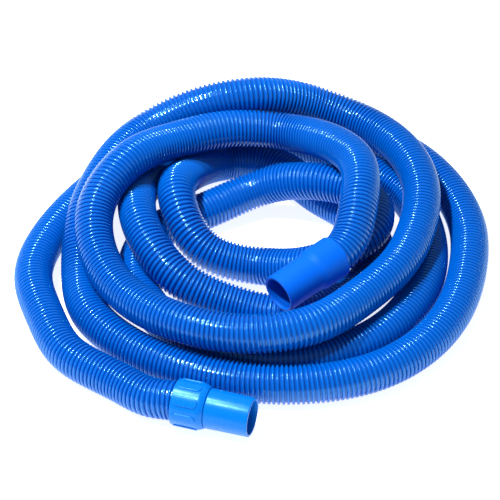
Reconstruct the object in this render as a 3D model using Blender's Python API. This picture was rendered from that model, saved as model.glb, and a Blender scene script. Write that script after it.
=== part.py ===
"""Corrugated pool vacuum hose, laid in a loose coil of six turns, with a swivel cuff and a fixed cuff.

Metres, +Z up. The coil lies on the plane z = 0 with its middle over the origin. The swivel cuff
points along +X, and the hose is listed from that cuff to the fixed one.
"""

import math

import bmesh
import bpy
import numpy as np
from mathutils import Matrix, Vector

# ---- hose ---------------------------------------------------------------------------------
HOSE_OUTER = 0.046  # over the ribs
HOSE_WALL = 0.004  # rib and web together
HOSE_BORE = HOSE_OUTER - 2 * HOSE_WALL
FACET_ALLOWANCE = 0.002  # the flat-sided tube's radius is less by this, so turns stay apart
TUBE_STEP = 0.035  # between the tube's points, under one diameter, as turns lie against turns
TUBE_RESOLUTION = 4  # 12 sides
GAP = 0.0003  # between faces that touch on the real hose
HOSE_IN_CUFF = 0.024  # how deep the hose's cut end sits in either cuff
HOSE_SEAT = HOSE_OUTER + 2 * GAP  # the hole that it sits in

# ---- swivel cuff --------------------------------------------------------------------------
SWIVEL_REAR = (-0.004, -0.280)  # where the hose goes into the collar
COLLAR_WALL = 0.003
COLLAR_OUTER = HOSE_SEAT + 2 * COLLAR_WALL
COLLAR_LIP = 0.007  # the front wall that holds the spout in
COLLAR_CHAMFER = 0.0025
PAD_COUNT = 8
PAD_HEIGHT = 0.001
PAD_ARC = 26.0  # degrees
PAD_MARGIN = 0.005  # from the collar's ends
SPOUT_WALL = 0.004
SPOUT_OUTER = HOSE_BORE + 2 * SPOUT_WALL
SPOUT_LENGTH = 0.052  # in front of the collar
SPOUT_TAPER = 0.0005
RUNNING_CLEARANCE = 0.0003  # round the spout's neck and bead
NECK_WALL = 0.002  # the spout inside the collar's lip
NECK_OUTER = HOSE_BORE + 2 * NECK_WALL
BEAD_LENGTH = 0.0035
WASHER_THICKNESS = 0.0025
COLLAR_LENGTH = HOSE_IN_CUFF + WASHER_THICKNESS + BEAD_LENGTH + COLLAR_LIP + 4 * GAP

# ---- fixed cuff ---------------------------------------------------------------------------
FIXED_REAR = (0.113, -0.053, 0.093)  # where the hose goes into the cuff
FIXED_YAW = -121.0  # degrees
FIXED_DIP = 6.8  # degrees, mouth down
SOCKET_WALL = 0.0023
SOCKET_OUTER = HOSE_SEAT + 2 * SOCKET_WALL
SOCKET_FLOOR = 0.0084  # from the hose's end to the step
SOCKET_LENGTH = HOSE_IN_CUFF + 2 * GAP + SOCKET_FLOOR
STEP_LENGTH = 0.005
NOZZLE_WALL = 0.0039
NOZZLE_OUTER = HOSE_BORE + 2 * NOZZLE_WALL
NOZZLE_LENGTH = 0.050
FIXED_LENGTH = SOCKET_LENGTH + STEP_LENGTH + NOZZLE_LENGTH
ROUND_SIDES = 48

# ---- the way the hose lies ----------------------------------------------------------------
# Points in millimetres on the hose's centre line, about a hand's width apart, one list for each
# turn. A point at a height of 23 lies on the floor.
TURNS = [
    [  # out from the swivel cuff and round the outside, all on the floor
        (-30, -280, 25), (-75, -265, 23), (-150, -235, 23), (-200, -180, 23), (-240, -115, 23),
        (-250, -40, 23), (-240, 35, 23), (-220, 110, 23), (-195, 180, 23), (-150, 225, 23),
        (-85, 240, 23), (-10, 240, 23), (65, 215, 23), (130, 180, 23), (175, 120, 23),
        (200, 45, 23), (200, -30, 23), (175, -100, 23), (120, -155, 23), (50, -175, 23),
    ],
    [  # the inner turn, which climbs over itself at the right
        (-30, -165, 23), (-90, -125, 23), (-130, -60, 23), (-130, 10, 23), (-85, 70, 25),
        (-30, 115, 40), (40, 115, 65), (110, 95, 70), (130, 35, 70), (85, -15, 50),
        (10, -15, 25), (-60, -20, 40),
    ],
    [  # over the last turn at the left, then under it at the back
        (-110, 30, 70), (-120, 100, 50), (-95, 170, 25), (-40, 185, 23), (30, 145, 23),
        (95, 110, 23), (135, 45, 23), (130, -25, 23), (80, -85, 23), (10, -95, 25),
        (-65, -95, 50),
    ],
    [  # from the inside to the outside across the back
        (-120, -55, 70), (-155, 15, 65), (-165, 85, 40), (-155, 160, 35), (-120, 205, 60),
        (-80, 250, 70), (-10, 285, 45), (65, 280, 25), (130, 250, 23), (185, 200, 23),
        (225, 135, 23), (245, 60, 23), (250, -15, 23), (235, -90, 23), (195, -155, 23),
        (130, -200, 23), (60, -220, 23),
    ],
    [  # up on the turns below it
        (-20, -220, 23), (-90, -200, 23), (-155, -155, 23), (-190, -90, 25), (-210, -15, 50),
        (-210, 55, 65), (-195, 130, 70), (-140, 175, 95), (-70, 210, 105), (-5, 250, 80),
        (65, 245, 67), (125, 200, 70), (165, 135, 70), (180, 60, 65), (175, -20, 65),
        (150, -90, 65), (115, -155, 70), (45, -190, 67),
    ],
    [  # the top turn, which ends in the fixed cuff
        (-30, -190, 65), (-100, -160, 60), (-155, -110, 65), (-185, -40, 90), (-170, 25, 110),
        (-140, 100, 95), (-90, 150, 90), (-20, 175, 85), (45, 145, 105), (95, 95, 120),
        (120, 15, 115), (121, -32, 98),
    ],
]


# ---- making the shapes --------------------------------------------------------------------
def clear_scene():
    for item in list(bpy.data.objects):
        bpy.data.objects.remove(item, do_unlink=True)


def plastic(name, colour, roughness):
    """A plain moulded plastic."""
    material = bpy.data.materials.new(name)
    material.use_nodes = True
    shader = material.node_tree.nodes["Principled BSDF"]
    shader.inputs["Base Color"].default_value = (*colour, 1.0)
    shader.inputs["Roughness"].default_value = roughness
    shader.inputs["Metallic"].default_value = 0.0
    return material


def add_object(name, data, material):
    made = bpy.data.objects.new(name, data)
    data.materials.append(material)
    bpy.context.collection.objects.link(made)
    return made


def body_of_rings(name, rings, material):
    """A closed body from rings of points, each ring joined to the next and the last to the first."""
    mesh = bmesh.new()
    rows = [[mesh.verts.new(point) for point in ring] for ring in rings]
    sides = len(rows[0])
    for row, after in zip(rows, rows[1:] + rows[:1]):
        for i in range(sides):
            j = (i + 1) % sides
            mesh.faces.new((row[i], row[j], after[j], after[i]))
    bmesh.ops.recalc_face_normals(mesh, faces=mesh.faces)
    data = bpy.data.meshes.new(name)
    mesh.to_mesh(data)
    mesh.free()
    data.shade_smooth()
    data.set_sharp_from_angle(angle=math.radians(35))
    return add_object(name, data, material)


def ring(along, radius, raised=0.0):
    """A ring of points round the X axis; raised lifts the ones that lie on a grip pad."""
    points = []
    for i in range(ROUND_SIDES):
        angle = 2 * math.pi * i / ROUND_SIDES
        off_pad = (math.degrees(angle) + 180 / PAD_COUNT) % (360 / PAD_COUNT) - 180 / PAD_COUNT
        reach = radius + (raised if abs(off_pad) < PAD_ARC / 2 else 0.0)
        points.append((along, reach * math.cos(angle), reach * math.sin(angle)))
    return points


def turned(name, outline, material):
    """A body turned round the X axis from a closed outline of (along, radius)."""
    return body_of_rings(name, [ring(along, radius) for along, radius in outline], material)


# ---- the hose -----------------------------------------------------------------------------
def cubic_through(points, first_way, last_way):
    """Points close together along a cubic spline, and the distance to each."""
    points = np.array(points)
    knots = np.concatenate([[0], np.cumsum(np.linalg.norm(np.diff(points, axis=0), axis=1))])
    gaps = np.diff(knots)
    count = len(points)
    matrix = np.zeros((count, count))
    right = np.zeros((count, 3))
    slopes = np.diff(points, axis=0) / gaps[:, None]
    matrix[0, :2] = 2 * gaps[0], gaps[0]
    right[0] = 6 * (slopes[0] - first_way)
    matrix[-1, -2:] = gaps[-1], 2 * gaps[-1]
    right[-1] = 6 * (last_way - slopes[-1])
    for i in range(1, count - 1):
        matrix[i, i - 1: i + 2] = gaps[i - 1], 2 * (gaps[i - 1] + gaps[i]), gaps[i]
        right[i] = 6 * (slopes[i] - slopes[i - 1])
    bend = np.linalg.solve(matrix, right)
    fine = []
    for i, gap in enumerate(gaps):
        u = np.linspace(0, gap, max(2, round(gap / 0.0002)), endpoint=False)[:, None]
        fine.append(
            points[i]
            + u * (slopes[i] - gap * (2 * bend[i] + bend[i + 1]) / 6)
            + u**2 * bend[i] / 2
            + u**3 * (bend[i + 1] - bend[i]) / (6 * gap)
        )
    line = np.concatenate([*fine, points[-1:]])
    along = np.concatenate([[0], np.cumsum(np.linalg.norm(np.diff(line, axis=0), axis=1))])
    return line, along


def at(line, along, distance):
    """The point on the line at a distance, and the way the line goes there."""
    near = [[np.interp(distance + step, along, line[:, k]) for k in range(3)] for step in (-1e-4, 0, 1e-4)]
    way = np.subtract(near[2], near[0])
    return np.array(near[1]), way / np.linalg.norm(way)


def hose_run(name, line, along, start, end, material):
    """A tube along part of the line, with each end square to it."""
    start += GAP / 2
    end -= GAP / 2
    stub = 0.008  # a short straight end keeps the two faces at a joint parallel
    first, first_way = at(line, along, start)
    last, last_way = at(line, along, end)
    steps = max(2, round((end - start) / TUBE_STEP))
    inner = [at(line, along, d)[0] for d in np.linspace(start, end, steps + 1)[1:-1]]
    route = [first, first + stub * first_way, *inner, last - stub * last_way, last]
    curve = bpy.data.curves.new(name, "CURVE")
    curve.dimensions = "3D"
    curve.bevel_depth = HOSE_OUTER / 2 - FACET_ALLOWANCE
    curve.bevel_resolution = TUBE_RESOLUTION
    curve.use_fill_caps = True
    spline = curve.splines.new("POLY")
    spline.points.add(len(route) - 1)
    for point, place in zip(spline.points, route):
        point.co = (*place, 1.0)
    spline.use_smooth = True
    return add_object(name, curve, material)


def make_hose(swivel, fixed, material):
    """Six runs, one for each turn, between the rear faces of the two cuffs."""
    chosen = [Vector(point) / 1000 for turn in TURNS for point in turn]
    points = [swivel.translation, *chosen, fixed.translation]
    line, along = cubic_through(points, -np.array(swivel.col[0][:3]), np.array(fixed.col[0][:3]))

    def distance_to(place):
        return along[np.linalg.norm(line - np.array(place), axis=1).argmin()]

    cuts = [0.0, *(distance_to(Vector(turn[0]) / 1000) for turn in TURNS[1:]), along[-1]]
    for number, (start, end) in enumerate(zip(cuts, cuts[1:]), 1):
        hose_run(f"hose_turn_{number}", line, along, start, end, material)


def hose_end(name, place, material):
    """The hose's cut end inside a cuff, open down its bore."""
    outer = HOSE_OUTER / 2
    bore = HOSE_BORE / 2
    outline = [(0, bore), (0, outer), (HOSE_IN_CUFF, outer), (HOSE_IN_CUFF, bore)]
    turned(name, [(x + GAP / 2, r) for x, r in outline], material).matrix_world = place


# ---- the swivel cuff ----------------------------------------------------------------------
def swivel_collar(place, material):
    """The nut that holds the hose, with grip pads, and a lip at its front that the spout hangs in."""
    outer = COLLAR_OUTER / 2
    seat = HOSE_SEAT / 2
    hole = NECK_OUTER / 2 + RUNNING_CLEARANCE
    length = COLLAR_LENGTH
    ramp = 0.0008
    pad_start = PAD_MARGIN
    pad_end = length - PAD_MARGIN
    rings = [
        ring(0, seat),
        ring(0, outer - ramp),
        ring(ramp, outer),
        ring(pad_start, outer),
        ring(pad_start + ramp, outer, PAD_HEIGHT),
        ring(pad_end - ramp, outer, PAD_HEIGHT),
        ring(pad_end, outer),
        ring(length - COLLAR_CHAMFER / 3, outer - COLLAR_CHAMFER / 3),
        ring(length, outer - COLLAR_CHAMFER),
        ring(length, hole),
        ring(length - COLLAR_LIP, hole),
        ring(length - COLLAR_LIP, seat),
    ]
    body_of_rings("swivel_collar", rings, material).matrix_world = place


def swivel_spout(place, material):
    """The spout, which turns in the collar on a neck with a bead behind the collar's lip."""
    outer = SPOUT_OUTER / 2
    bore = HOSE_BORE / 2
    neck = NECK_OUTER / 2
    bead = HOSE_SEAT / 2 - RUNNING_CLEARANCE
    lip_back = COLLAR_LENGTH - COLLAR_LIP - GAP
    face = COLLAR_LENGTH + GAP
    mouth = COLLAR_LENGTH + SPOUT_LENGTH
    outline = [
        (lip_back - BEAD_LENGTH, bore),
        (lip_back - BEAD_LENGTH, bead),
        (lip_back, bead),
        (lip_back, neck),
        (face, neck),
        (face, outer),
        (mouth - 0.001, outer - SPOUT_TAPER),
        (mouth, outer - SPOUT_TAPER - 0.0006),
        (mouth, bore),
    ]
    turned("swivel_spout", outline, material).matrix_world = place


def swivel_washer(place, material):
    """The seal between the hose's cut end and the spout's bead."""
    outer = HOSE_OUTER / 2
    bore = HOSE_BORE / 2
    back = HOSE_IN_CUFF + 2 * GAP
    front = back + WASHER_THICKNESS
    outline = [(back, bore), (back, outer), (front, outer), (front, bore)]
    turned("swivel_washer", outline, material).matrix_world = place


# ---- the fixed cuff -----------------------------------------------------------------------
def fixed_cuff(place, material):
    """One moulding: a socket for the hose, a soft step and a plain nozzle."""
    outer = SOCKET_OUTER / 2
    seat = HOSE_SEAT / 2
    bore = HOSE_BORE / 2
    nozzle = NOZZLE_OUTER / 2
    floor = HOSE_IN_CUFF + 2 * GAP
    half_drop = (outer + nozzle) / 2
    outline = [
        (0, seat),
        (0, outer - 0.0008),
        (0.0008, outer),
        (SOCKET_LENGTH, outer),
        (SOCKET_LENGTH + STEP_LENGTH / 2, half_drop),
        (SOCKET_LENGTH + STEP_LENGTH, nozzle),
        (FIXED_LENGTH - 0.001, nozzle),
        (FIXED_LENGTH, nozzle - 0.0006),
        (FIXED_LENGTH, bore),
        (floor, bore),
        (floor, seat),
    ]
    turned("fixed_cuff", outline, material).matrix_world = place


def main():
    clear_scene()
    hose_blue = plastic("hose_blue", (0.0, 0.10, 0.58), 0.35)
    swivel_blue = plastic("swivel_blue", (0.0, 0.22, 0.90), 0.30)
    fixed_blue = plastic("fixed_blue", (0.0, 0.16, 0.90), 0.45)
    seal_black = plastic("seal_black", (0.02, 0.02, 0.02), 0.7)
    pads = COLLAR_OUTER / 2 + PAD_HEIGHT  # the collar rests on a pad
    swivel = Matrix.Translation((*SWIVEL_REAR, pads))
    yaw = Matrix.Rotation(math.radians(FIXED_YAW), 4, "Z")
    dip = Matrix.Rotation(math.radians(FIXED_DIP), 4, "Y")
    fixed = Matrix.Translation(FIXED_REAR) @ yaw @ dip
    make_hose(swivel, fixed, hose_blue)
    hose_end("hose_end_swivel", swivel, hose_blue)
    hose_end("hose_end_fixed", fixed, hose_blue)
    swivel_collar(swivel, swivel_blue)
    swivel_washer(swivel, seal_black)
    swivel_spout(swivel, swivel_blue)
    fixed_cuff(fixed, fixed_blue)


main()
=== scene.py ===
import math

import bmesh
import bpy
import numpy as np
from mathutils import Matrix, Vector


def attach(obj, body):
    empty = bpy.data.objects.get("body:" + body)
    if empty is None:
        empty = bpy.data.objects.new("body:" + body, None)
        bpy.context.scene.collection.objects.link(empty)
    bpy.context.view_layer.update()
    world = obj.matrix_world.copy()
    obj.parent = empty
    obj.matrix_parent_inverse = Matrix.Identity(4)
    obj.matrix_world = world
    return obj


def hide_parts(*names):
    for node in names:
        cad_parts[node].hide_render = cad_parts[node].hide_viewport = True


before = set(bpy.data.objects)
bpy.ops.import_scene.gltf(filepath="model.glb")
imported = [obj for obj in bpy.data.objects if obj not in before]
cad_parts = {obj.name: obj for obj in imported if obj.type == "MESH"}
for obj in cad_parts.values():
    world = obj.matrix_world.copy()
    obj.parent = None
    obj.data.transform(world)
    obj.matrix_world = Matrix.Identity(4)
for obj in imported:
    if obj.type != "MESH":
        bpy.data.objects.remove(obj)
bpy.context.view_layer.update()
bpy.ops.object.select_all(action="DESELECT")

# ---- Camera: a long lens that looks down on the coil from the front and a little from the right.
# The plain view transform keeps strong blues as they are.
looks_at = Vector((-0.021, 0.041, 0.0))
camera_turn = math.radians(18.0)
camera_rise = math.radians(38.0)
camera_distance = 3.6
away = Vector(
    (
        math.sin(camera_turn) * math.cos(camera_rise),
        -math.cos(camera_turn) * math.cos(camera_rise),
        math.sin(camera_rise),
    )
)
bpy.ops.object.camera_add(location=looks_at + camera_distance * away)
camera = bpy.context.object
camera.name = "camera"
camera.rotation_euler = (-away).to_track_quat("-Z", "Y").to_euler()
camera.data.sensor_fit = "HORIZONTAL"
camera.data.angle = math.radians(9.607)  # the coil nearly fills the width
camera.data.clip_end = 50
bpy.context.scene.camera = camera
bpy.context.scene.view_settings.view_transform = "Standard"

# ---- Hose: one strip of soft plastic wound and welded into a tube, web and rib together, with a
# smooth bore. It lies in a loose coil of six turns between the swivel cuff and the fixed cuff, and
# its two cut ends sit inside them.
hose_outer = 0.046
hose_bore = 0.038
swivel_rear = Vector((-0.004, -0.280, 0.0273))
fixed_rear = Vector((0.113, -0.053, 0.093))
fixed_yaw = math.radians(-121.0)
fixed_dip = math.radians(6.8)
swivel_place = Matrix.Translation(swivel_rear)
fixed_place = (
    Matrix.Translation(fixed_rear)
    @ Matrix.Rotation(fixed_yaw, 4, "Z")
    @ Matrix.Rotation(fixed_dip, 4, "Y")
)
# points in millimetres on the hose's centre line, one list for each turn
hose_route = [
    [  # out from the swivel cuff and round the outside, all on the floor
        (-30, -280, 25), (-75, -265, 23), (-150, -235, 23), (-200, -180, 23), (-240, -115, 23),
        (-250, -40, 23), (-240, 35, 23), (-220, 110, 23), (-195, 180, 23), (-150, 225, 23),
        (-85, 240, 23), (-10, 240, 23), (65, 215, 23), (130, 180, 23), (175, 120, 23),
        (200, 45, 23), (200, -30, 23), (175, -100, 23), (120, -155, 23), (50, -175, 23),
    ],
    [  # the inner turn, which climbs over itself at the right
        (-30, -165, 23), (-90, -125, 23), (-130, -60, 23), (-130, 10, 23), (-85, 70, 25),
        (-30, 115, 40), (40, 115, 65), (110, 95, 70), (130, 35, 70), (85, -15, 50),
        (10, -15, 25), (-60, -20, 40),
    ],
    [  # over the last turn at the left, then under it at the back
        (-110, 30, 70), (-120, 100, 50), (-95, 170, 25), (-40, 185, 23), (30, 145, 23),
        (95, 110, 23), (135, 45, 23), (130, -25, 23), (80, -85, 23), (10, -95, 25),
        (-65, -95, 50),
    ],
    [  # from the inside to the outside across the back
        (-120, -55, 70), (-155, 15, 65), (-165, 85, 40), (-155, 160, 35), (-120, 205, 60),
        (-80, 250, 70), (-10, 285, 45), (65, 280, 25), (130, 250, 23), (185, 200, 23),
        (225, 135, 23), (245, 60, 23), (250, -15, 23), (235, -90, 23), (195, -155, 23),
        (130, -200, 23), (60, -220, 23),
    ],
    [  # up on the turns below it
        (-20, -220, 23), (-90, -200, 23), (-155, -155, 23), (-190, -90, 25), (-210, -15, 50),
        (-210, 55, 65), (-195, 130, 70), (-140, 175, 95), (-70, 210, 105), (-5, 250, 80),
        (65, 245, 67), (125, 200, 70), (165, 135, 70), (180, 60, 65), (175, -20, 65),
        (150, -90, 65), (115, -155, 70), (45, -190, 67),
    ],
    [  # the top turn, which ends in the fixed cuff
        (-30, -190, 65), (-100, -160, 60), (-155, -110, 65), (-185, -40, 90), (-170, 25, 110),
        (-140, 100, 95), (-90, 150, 90), (-20, 175, 85), (45, 145, 105), (95, 95, 120),
        (120, 15, 115), (121, -32, 98),
    ],
]


def cubic_through(points, first_way, last_way):
    """Points close together along a cubic spline that starts and ends in the ways given."""
    points = np.array(points)
    knots = np.concatenate([[0], np.cumsum(np.linalg.norm(np.diff(points, axis=0), axis=1))])
    gaps = np.diff(knots)
    count = len(points)
    matrix = np.zeros((count, count))
    right = np.zeros((count, 3))
    slopes = np.diff(points, axis=0) / gaps[:, None]
    matrix[0, :2] = 2 * gaps[0], gaps[0]
    right[0] = 6 * (slopes[0] - first_way)
    matrix[-1, -2:] = gaps[-1], 2 * gaps[-1]
    right[-1] = 6 * (last_way - slopes[-1])
    for i in range(1, count - 1):
        matrix[i, i - 1 : i + 2] = gaps[i - 1], 2 * (gaps[i - 1] + gaps[i]), gaps[i]
        right[i] = 6 * (slopes[i] - slopes[i - 1])
    bend = np.linalg.solve(matrix, right)
    fine = []
    for i, gap in enumerate(gaps):
        u = np.linspace(0, gap, max(2, round(gap / 0.001)), endpoint=False)[:, None]
        fine.append(
            points[i]
            + u * (slopes[i] - gap * (2 * bend[i] + bend[i + 1]) / 6)
            + u**2 * bend[i] / 2
            + u**3 * (bend[i + 1] - bend[i]) / (6 * gap)
        )
    return np.concatenate([*fine, points[-1:]])


hose_in_cuff = 0.024  # how deep its cut ends sit
swivel_way = np.array(swivel_place.col[0][:3])
fixed_way = np.array(fixed_place.col[0][:3])
chosen = [Vector(point) / 1000 for turn in hose_route for point in turn]
free_line = cubic_through([swivel_rear, *chosen, fixed_rear], -swivel_way, fixed_way)
deep_steps = np.linspace(hose_in_cuff, 0.001, 24)[:, None]
hose_line = np.concatenate(
    [
        np.array(swivel_rear) + deep_steps * swivel_way,
        free_line,
        np.array(fixed_rear) + deep_steps[::-1] * fixed_way,
    ]
)
hose_along = np.concatenate([[0], np.cumsum(np.linalg.norm(np.diff(hose_line, axis=0), axis=1))])
hose_length = hose_along[-1]


def carried_frames(line):
    """Two directions square to the line at each of its points, carried along without twist."""
    ways = np.gradient(line, axis=0)
    ways /= np.linalg.norm(ways, axis=1)[:, None]
    ups = np.empty_like(ways)
    up = np.array([0.0, 0.0, 1.0])
    for i, way in enumerate(ways):
        up = up - way * (up @ way)
        up /= np.linalg.norm(up)
        ups[i] = up
    return ups, np.cross(ways, ups)


hose_ups, hose_sides = carried_frames(hose_line)


def hose_surface(along, angle, radius):
    """Points on the hose, at distances along it, angles round it and radii out from its middle."""
    middle, up, side = (
        np.stack([np.interp(along, hose_along, axes[:, k]) for k in range(3)], axis=-1)
        for axes in (hose_line, hose_ups, hose_sides)
    )
    outward = np.cos(angle)[..., None] * up + np.sin(angle)[..., None] * side
    return middle + radius[..., None] * outward


def mesh_of(name, points, faces):
    """A smooth-shaded object from rows of points and four-sided faces."""
    data = bpy.data.meshes.new(name)
    data.vertices.add(len(points))
    data.vertices.foreach_set("co", points.ravel())
    data.loops.add(faces.size)
    data.loops.foreach_set("vertex_index", faces.ravel().astype(np.int32))
    data.polygons.add(len(faces))
    data.polygons.foreach_set("loop_start", np.arange(0, faces.size, 4, dtype=np.int32))
    data.update(calc_edges=True)
    data.validate()
    data.shade_smooth()
    made = bpy.data.objects.new(name, data)
    bpy.context.collection.objects.link(made)
    return made


# the web: the thin tube that the rib is wound on, open down its bore
web_outer = 0.0203
web_sides = 36
web_step = 0.008  # between its rings of points
web_rings = round(hose_length / web_step) + 1
angles = np.linspace(0, 2 * math.pi, web_sides, endpoint=False)
ring_at = np.linspace(0, hose_length, web_rings)
wall = [(ring_at, web_outer), (ring_at[::-1], hose_bore / 2)]  # out along the hose, back down the bore
web_points = np.concatenate(
    [
        hose_surface(
            np.repeat(way, web_sides),
            np.tile(angles, web_rings),
            np.full(web_sides * web_rings, radius),
        )
        for way, radius in wall
    ]
)
rows = 2 * web_rings
row = np.arange(rows)[:, None]
col = np.arange(web_sides)[None, :]
web_faces = np.stack(
    [
        row * web_sides + col,
        row * web_sides + (col + 1) % web_sides,
        (row + 1) % rows * web_sides + (col + 1) % web_sides,
        (row + 1) % rows * web_sides + col,
    ],
    axis=-1,
).reshape(-1, 4)
hose = mesh_of("hose", web_points, web_faces)

# the rib: a rounded bead wound on the web, one turn each 5.3 mm, drawn as six lengths of one strip
rib_pitch = 0.0053
rib_half_width = 0.0019
rib_foot = web_outer - 0.0003  # sunk a little into the web
rib_height = hose_outer / 2 - rib_foot
rib_sides = 32  # sections in one turn of the helix
rib_lengths = 6
arch_points = 7
arch_fullness = 0.8  # below 1 is fuller than a half ellipse
arch = np.linspace(0, math.pi, arch_points)
arch_along = -rib_half_width * np.cos(arch)
arch_out = rib_foot + rib_height * np.sin(arch) ** arch_fullness
rib_turns = int((hose_length - 2 * rib_half_width) / rib_pitch)
ribs = []
cuts = np.linspace(0, rib_turns, rib_lengths + 1).round().astype(int)
for number, (first, last) in enumerate(zip(cuts, cuts[1:]), 1):
    sections = (last - first) * rib_sides + 1
    wind = first + np.arange(sections) / rib_sides
    along = rib_half_width + wind[:, None] * rib_pitch + arch_along[None, :]
    angle = np.repeat(2 * math.pi * wind[:, None], arch_points, axis=1)
    points = hose_surface(along, angle, np.broadcast_to(arch_out, along.shape)).reshape(-1, 3)
    row = np.arange(sections - 1)[:, None]
    col = np.arange(arch_points)[None, :]
    next_col = (col + 1) % arch_points
    faces = np.stack(
        [
            row * arch_points + col,
            (row + 1) * arch_points + col,
            (row + 1) * arch_points + next_col,
            row * arch_points + next_col,
        ],
        axis=-1,
    ).reshape(-1, 4)
    rib = mesh_of(f"hose_rib_{number}", points, faces)
    edit = bmesh.new()
    edit.from_mesh(rib.data)
    bmesh.ops.holes_fill(edit, edges=[e for e in edit.edges if e.is_boundary], sides=0)
    edit.to_mesh(rib.data)
    edit.free()
    rib.data.set_sharp_from_angle(angle=math.radians(60))
    ribs.append(rib)


# an effect shared by the plastics: slow changes of tone, a fine satin grain and light scuffs
def moulded_plastic_group():
    group = bpy.data.node_groups.new("moulded_plastic", "ShaderNodeTree")
    face = group.interface
    face.new_socket("Place", in_out="INPUT", socket_type="NodeSocketVector")
    face.new_socket("Colour", in_out="INPUT", socket_type="NodeSocketColor")
    face.new_socket("Deep Colour", in_out="INPUT", socket_type="NodeSocketColor")
    face.new_socket("Gloss", in_out="INPUT", socket_type="NodeSocketFloat")
    face.new_socket("Grain", in_out="INPUT", socket_type="NodeSocketFloat")
    face.new_socket("Colour", in_out="OUTPUT", socket_type="NodeSocketColor")
    face.new_socket("Roughness", in_out="OUTPUT", socket_type="NodeSocketFloat")
    face.new_socket("Normal", in_out="OUTPUT", socket_type="NodeSocketVector")
    nodes = group.nodes
    link = group.links.new
    given = nodes.new("NodeGroupInput")
    result = nodes.new("NodeGroupOutput")
    clouds = nodes.new("ShaderNodeTexNoise")
    clouds.inputs["Scale"].default_value = 22.0
    clouds.inputs["Detail"].default_value = 3.0
    link(given.outputs["Place"], clouds.inputs["Vector"])
    tone = nodes.new("ShaderNodeMapRange")
    tone.inputs["From Min"].default_value = 0.35
    tone.inputs["From Max"].default_value = 0.65
    tone.inputs["To Max"].default_value = 0.35
    link(clouds.outputs["Fac"], tone.inputs["Value"])
    mix = nodes.new("ShaderNodeMix")
    mix.data_type = "RGBA"
    link(tone.outputs["Result"], mix.inputs["Factor"])
    link(given.outputs["Colour"], mix.inputs["A"])
    link(given.outputs["Deep Colour"], mix.inputs["B"])
    link(mix.outputs["Result"], result.inputs["Colour"])
    scuffs = nodes.new("ShaderNodeTexNoise")
    scuffs.inputs["Scale"].default_value = 140.0
    scuffs.inputs["Detail"].default_value = 4.0
    scuffs.inputs["Roughness"].default_value = 0.7
    link(given.outputs["Place"], scuffs.inputs["Vector"])
    dull = nodes.new("ShaderNodeMapRange")
    dull.inputs["From Min"].default_value = 0.45
    dull.inputs["From Max"].default_value = 0.75
    dull.inputs["To Max"].default_value = 0.12
    link(scuffs.outputs["Fac"], dull.inputs["Value"])
    rough = nodes.new("ShaderNodeMath")
    rough.operation = "ADD"
    link(given.outputs["Gloss"], rough.inputs[0])
    link(dull.outputs["Result"], rough.inputs[1])
    link(rough.outputs["Value"], result.inputs["Roughness"])
    grain = nodes.new("ShaderNodeTexNoise")
    grain.inputs["Scale"].default_value = 1800.0
    grain.inputs["Detail"].default_value = 2.0
    link(given.outputs["Place"], grain.inputs["Vector"])
    bump = nodes.new("ShaderNodeBump")
    bump.inputs["Distance"].default_value = 0.00004
    link(given.outputs["Grain"], bump.inputs["Strength"])
    link(grain.outputs["Fac"], bump.inputs["Height"])
    link(bump.outputs["Normal"], result.inputs["Normal"])
    return group


moulded_plastic = moulded_plastic_group()


def plastic(name, colour, deep, gloss, grain, shine=0.4):
    """A plastic on the piece's own coordinates. Gloss is its roughness, and shine how much it reflects."""
    material = bpy.data.materials.new(name)
    material.use_nodes = True
    tree = material.node_tree
    shader = tree.nodes["Principled BSDF"]
    shader.inputs["IOR"].default_value = 1.49
    shader.inputs["Specular IOR Level"].default_value = shine
    shader.inputs["Specular Tint"].default_value = (0.32, 0.78, 1.0, 1.0)
    place = tree.nodes.new("ShaderNodeTexCoord")
    effect = tree.nodes.new("ShaderNodeGroup")
    effect.node_tree = moulded_plastic
    effect.inputs["Colour"].default_value = (*colour, 1.0)
    effect.inputs["Deep Colour"].default_value = (*deep, 1.0)
    effect.inputs["Gloss"].default_value = gloss
    effect.inputs["Grain"].default_value = grain
    tree.links.new(place.outputs["Object"], effect.inputs["Place"])
    tree.links.new(effect.outputs["Colour"], shader.inputs["Base Color"])
    tree.links.new(effect.outputs["Roughness"], shader.inputs["Roughness"])
    tree.links.new(effect.outputs["Normal"], shader.inputs["Normal"])
    return material


# web and rib are one plastic; the web's darker blue is painted shade for the grooves between the rib's
# turns
web_blue_painted_groove_shade = plastic("web_blue_painted_groove_shade", (0.0, 0.072, 0.40), (0.0, 0.062, 0.37), 0.13, 0.3, 0.85)
rib_blue = plastic("rib_blue", (0.0, 0.104, 0.51), (0.0, 0.093, 0.47), 0.11, 0.25, 0.85)
hose.data.materials.append(web_blue_painted_groove_shade)
for rib in ribs:
    rib.data.materials.append(rib_blue)

for piece in (hose, *ribs):
    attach(piece, "hose")
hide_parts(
    "hose_turn_1",
    "hose_turn_2",
    "hose_turn_3",
    "hose_turn_4",
    "hose_turn_5",
    "hose_turn_6",
    "hose_end_swivel",
    "hose_end_fixed",
)

# ---- Swivel collar: a moulded nut that the hose is screwed and glued into, with a soft cone at its
# front and eight raised grip pads with rounded ends. A lip inside its front holds the spout.
cuff_sides = 96
gap = 0.0003
washer_thickness = 0.0025
bead_length = 0.0035
collar_lip = 0.007
collar_length = hose_in_cuff + washer_thickness + bead_length + collar_lip + 4 * gap
seat_radius = hose_outer / 2 + gap
collar_wall = 0.003
collar_radius = seat_radius + collar_wall
cone_length = 0.0055
cone_end_radius = 0.0236
neck_wall = 0.002
neck_radius = hose_bore / 2 + neck_wall
pad_count = 8
pad_start = 0.0022
pad_end = 0.0312
pad_half_arc = math.radians(12.5)
pad_height = 0.0012
pad_rim = 0.0008  # how wide the soft edge is
pad_sunk = 0.0002  # into the collar


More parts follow.
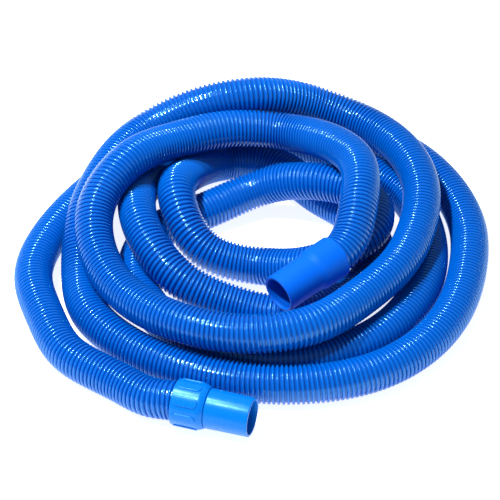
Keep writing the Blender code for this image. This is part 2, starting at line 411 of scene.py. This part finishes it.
def rounded(outline, steps=6):
    """The outline with its corners rounded; a point is (along, radius, size of its rounding)."""
    made = []
    for k, (along, radius, size) in enumerate(outline):
        corner = np.array((along, radius))
        if size == 0:
            made.append(corner)
            continue
        back = np.array(outline[k - 1][:2]) - corner
        on = np.array(outline[(k + 1) % len(outline)][:2]) - corner
        start = corner + back / np.linalg.norm(back) * size
        end = corner + on / np.linalg.norm(on) * size
        for t in np.linspace(0, 1, steps + 1):
            made.append((1 - t) ** 2 * start + 2 * t * (1 - t) * corner + t**2 * end)
    return made


def turned(name, outline, place):
    """A closed body turned round the X axis: a circle extruded along the outline, then joined up."""
    bpy.ops.object.select_all(action="DESELECT")
    along, radius = outline[0]
    bpy.ops.mesh.primitive_circle_add(
        vertices=cuff_sides, radius=radius, rotation=(0, math.pi / 2, 0)
    )
    made = bpy.context.object
    made.name = name
    bpy.ops.object.transform_apply(location=False, rotation=True, scale=False)
    bpy.ops.object.mode_set(mode="EDIT")
    bpy.ops.mesh.select_all(action="SELECT")
    bpy.ops.transform.translate(value=(along, 0, 0))
    for next_along, next_radius in outline[1:]:
        step = (next_along - along, 0, 0)
        grow = next_radius / radius
        bpy.ops.mesh.extrude_region_move(TRANSFORM_OT_translate={"value": step})
        bpy.ops.transform.resize(value=(1, grow, grow), center_override=(next_along, 0, 0))
        along, radius = next_along, next_radius
    bpy.ops.mesh.select_all(action="DESELECT")
    bpy.ops.mesh.select_mode(type="EDGE")
    bpy.ops.mesh.select_non_manifold()
    bpy.ops.mesh.bridge_edge_loops()
    bpy.ops.mesh.select_all(action="SELECT")
    bpy.ops.mesh.normals_make_consistent(inside=False)
    bpy.ops.object.mode_set(mode="OBJECT")
    bpy.ops.object.shade_smooth_by_angle(angle=math.radians(40))
    made.matrix_world = place
    bpy.ops.object.transform_apply(location=True, rotation=True, scale=True)
    return made


def grip_pad(turn_to):
    """A round-ended pad with a soft rim, which lies on the collar at an angle round it."""
    bpy.ops.object.select_all(action="DESELECT")
    bpy.ops.mesh.primitive_grid_add(x_subdivisions=60, y_subdivisions=20, size=2)
    made = bpy.context.object
    half_length = (pad_end - pad_start) / 2
    half_width = pad_half_arc * collar_radius
    straight = half_length - half_width
    for vertex in made.data.vertices:
        # grid lines crowd towards the ends and the sides, where the rim is
        u = math.sin(vertex.co.x * math.pi / 2)
        v = math.sin(vertex.co.y * math.pi / 2)
        along = u * half_length
        beyond = max(0.0, abs(along) - straight)
        width = math.sqrt(max(0.0, half_width**2 - beyond**2))
        across = v * width
        to_edge = half_width - math.hypot(beyond, across)
        short_of_flat = 1 - min(1.0, max(0.0, to_edge) / pad_rim)
        rise = math.sqrt(max(0.0, 1 - short_of_flat**2))
        reach = collar_radius - pad_sunk + (pad_height + pad_sunk) * rise
        angle = turn_to + across / collar_radius
        middle = (pad_start + pad_end) / 2
        vertex.co = (middle + along, reach * math.sin(angle), reach * math.cos(angle))
    bpy.ops.object.modifier_add(type="WELD")
    made.modifiers["Weld"].merge_threshold = 0.00001
    bpy.ops.object.modifier_apply(modifier="Weld")
    bpy.ops.object.modifier_add(type="SOLIDIFY")
    made.modifiers["Solidify"].thickness = 0.0006
    made.modifiers["Solidify"].offset = -1
    bpy.ops.object.modifier_apply(modifier="Solidify")
    bpy.ops.object.mode_set(mode="EDIT")
    bpy.ops.mesh.select_all(action="SELECT")
    bpy.ops.mesh.normals_make_consistent(inside=False)
    bpy.ops.object.mode_set(mode="OBJECT")
    bpy.ops.object.shade_smooth_by_angle(angle=math.radians(50))
    return made


collar_outline = [
    (0, seat_radius, 0.0003),
    (0, collar_radius, 0.0008),
    (collar_length - cone_length, collar_radius, 0.0025),
    (collar_length, cone_end_radius, 0.0012),
    (collar_length, neck_radius + gap, 0),
    (collar_length - collar_lip, neck_radius + gap, 0),
    (collar_length - collar_lip, seat_radius, 0),
]
collar = turned("collar", rounded(collar_outline), swivel_place)
pads = []
for number in range(pad_count):
    pad = grip_pad(math.radians(360 / pad_count * number))
    pad.matrix_world = swivel_place
    bpy.ops.object.transform_apply(location=True, rotation=True, scale=True)
    pads.append(pad)
bpy.ops.object.select_all(action="DESELECT")
for pad in pads:
    pad.select_set(True)
collar.select_set(True)
bpy.context.view_layer.objects.active = collar
bpy.ops.object.join()
swivel_blue = plastic("swivel_plastic", (0.0, 0.150, 0.62), (0.0, 0.141, 0.60), 0.26, 0.5)
collar.data.materials.clear()
collar.data.materials.append(swivel_blue)
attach(collar, "hose")
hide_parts("swivel_collar")

# ---- Spout: a smooth moulded pipe with a soft shoulder and a round rim. Its narrow neck goes
# through the collar's lip, and a bead behind the lip lets it turn and keeps it in.
lip_back = collar_length - collar_lip - gap
spout_back = collar_length + gap
spout_length = 0.052
mouth = collar_length + spout_length
spout_wall = 0.004
spout_radius = hose_bore / 2 + spout_wall
spout_taper = 0.0005
mouth_flare = 0.0008  # how much wider the bore is at the mouth
flare_length = 0.004
spout_outline = [
    (lip_back - bead_length, hose_bore / 2, 0),
    (lip_back - bead_length, seat_radius - gap, 0.0004),
    (lip_back, seat_radius - gap, 0.0004),
    (lip_back, neck_radius, 0),
    (spout_back, neck_radius, 0),
    (spout_back, spout_radius, 0.0015),
    (mouth, spout_radius - spout_taper, 0.0014),
    (mouth, hose_bore / 2 + mouth_flare, 0.0008),
    (mouth - flare_length, hose_bore / 2, 0.001),
]
spout = turned("spout", rounded(spout_outline), swivel_place)
spout.data.materials.append(swivel_blue)
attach(spout, "spout")
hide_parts("swivel_spout")

# ---- Washer: a flat ring of soft black rubber between the hose's cut end and the spout's bead.
washer_back = hose_in_cuff + 2 * gap
washer_outline = [
    (washer_back, hose_bore / 2, 0.0004),
    (washer_back, hose_outer / 2, 0.0004),
    (washer_back + washer_thickness, hose_outer / 2, 0.0004),
    (washer_back + washer_thickness, hose_bore / 2, 0.0004),
]
washer = turned("washer", rounded(washer_outline, 3), swivel_place)
washer.data.materials.append(
    plastic("seal_rubber", (0.02, 0.02, 0.02), (0.012, 0.012, 0.012), 0.6, 0.8)
)
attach(washer, "hose")
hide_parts("swivel_washer")

# ---- Fixed cuff: one soft moulding with a satin skin, a wide socket glued on the hose, a rounded
# step and a plain nozzle.
socket_wall = 0.0023
socket_radius = seat_radius + socket_wall
socket_floor = hose_in_cuff + 2 * gap
floor_thickness = 0.0084
socket_length = socket_floor + floor_thickness
nozzle_wall = 0.0039
nozzle_radius = hose_bore / 2 + nozzle_wall
step_length = 0.005
step_end = socket_length + step_length
nozzle_length = 0.050
fixed_length = step_end + nozzle_length
fixed_outline = [
    (0, seat_radius, 0.0003),
    (0, socket_radius, 0.0008),
    (socket_length, socket_radius, 0.0028),
    (step_end, nozzle_radius, 0.0028),
    (fixed_length, nozzle_radius, 0.0016),
    (fixed_length, hose_bore / 2 + mouth_flare, 0.0008),
    (fixed_length - flare_length, hose_bore / 2, 0.001),
    (socket_floor, hose_bore / 2, 0),
    (socket_floor, seat_radius, 0),
]
cuff = turned("cuff", rounded(fixed_outline), fixed_place)
cuff.data.materials.append(
    plastic("cuff_plastic", (0.0, 0.104, 0.64), (0.0, 0.099, 0.62), 0.52, 0.5, 0.2)
)
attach(cuff, "hose")
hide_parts("fixed_cuff")

# ---- Floor: a plain pale sheet under the coil, with some light of its own, so that shadows on it
# stay faint.
bpy.ops.mesh.primitive_plane_add(size=8, location=(0, 0, -0.0005))
floor = bpy.context.object
floor.name = "floor"
floor.data.materials.append(bpy.data.materials.new("floor_white"))
floor.data.materials[0].use_nodes = True
floor_shader = floor.data.materials[0].node_tree.nodes["Principled BSDF"]
floor_shader.inputs["Base Color"].default_value = (0.8, 0.8, 0.8, 1.0)
floor_shader.inputs["Emission Color"].default_value = (1.0, 1.0, 1.0, 1.0)
floor_shader.inputs["Emission Strength"].default_value = 0.85
floor_shader.inputs["Roughness"].default_value = 0.8

# ---- Lights: a pale room, and two small lamps overhead, one a little above the other.
world = bpy.data.worlds.new("room")
bpy.context.scene.world = world
world.use_nodes = True
world.node_tree.nodes["Background"].inputs["Color"].default_value = (1.0, 1.0, 1.0, 1.0)
world.node_tree.nodes["Background"].inputs["Strength"].default_value = 0.3


def lamp(name, lifted, turned_left, distance, size, power):
    """A lamp whose shine shows on what faces those degrees above and to the left of the camera."""
    right = camera.matrix_world.to_3x3() @ Vector((1, 0, 0))
    up = camera.matrix_world.to_3x3() @ Vector((0, 1, 0))
    facing = away + math.tan(math.radians(lifted)) * up - math.tan(math.radians(turned_left)) * right
    facing.normalize()
    place = looks_at + distance * (2 * facing.dot(away) * facing - away)
    bpy.ops.object.light_add(type="AREA", location=place)
    made = bpy.context.object
    made.name = name
    made.data.shape = "RECTANGLE"
    made.data.size, made.data.size_y = size
    made.data.energy = power
    made.rotation_euler = (looks_at - place).to_track_quat("-Z", "Y").to_euler()


bpy.context.view_layer.update()
lamp("upper_lamp", 27, 12, 3.2, (0.2, 0.08), 98)
lamp("lower_lamp", 18, 10, 3.2, (0.2, 0.08), 86)
